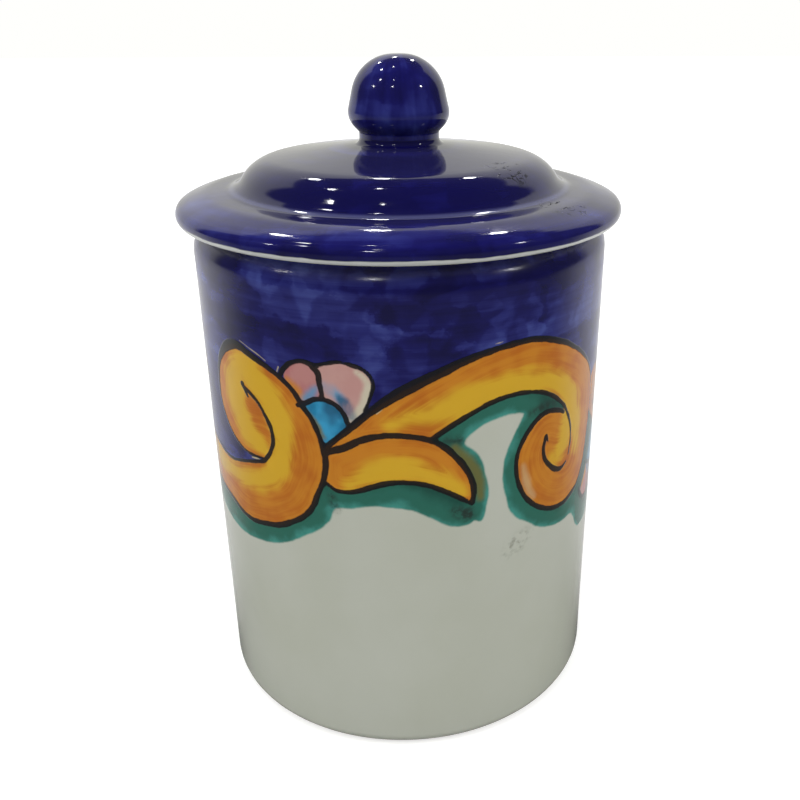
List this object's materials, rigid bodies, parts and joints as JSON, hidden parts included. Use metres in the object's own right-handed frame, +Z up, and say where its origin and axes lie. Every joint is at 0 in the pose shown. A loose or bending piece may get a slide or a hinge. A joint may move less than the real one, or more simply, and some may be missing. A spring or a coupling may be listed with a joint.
{
  "type": "spice jar",
  "caption": "Straight-walled glazed earthenware spice jar with a stepped, knobbed lift-off lid whose collar and seal ring drop into the mouth.",
  "frame": {"origin": "centre of the foot ring, on the surface that the jar stands on", "axes": "+Z up along the jar's axis, through the knob; -Y towards the viewer of the painted front"},
  "size_m": [0.0958, 0.0958, 0.1437],
  "materials": {
    "jar_glaze": "glossy white tin glaze, hand painted in cobalt, ochre, green and pink",
    "lid_glaze": "glossy cobalt glaze laid on with a brush over a white ground",
    "seal_silicone": "satin milky silicone"
  },
  "bodies": {
    "jar": {"jar_body": "jar_glaze"},
    "seal": {"seal_ring": "seal_silicone"},
    "lid": {"lid_shell": "lid_glaze", "lid_knob": "lid_glaze"}
  },
  "joints": [
    {"name": "lid_lift", "type": "slide", "parent": "jar", "child": "seal", "axis": [0, 0, 1], "range_m": [0, 0.035]},
    {"name": "lid_turn", "type": "hinge", "parent": "seal", "child": "lid", "pos_m": [0, 0, 0.1054], "axis": [0, 0, 1], "continuous": true}
  ]
}
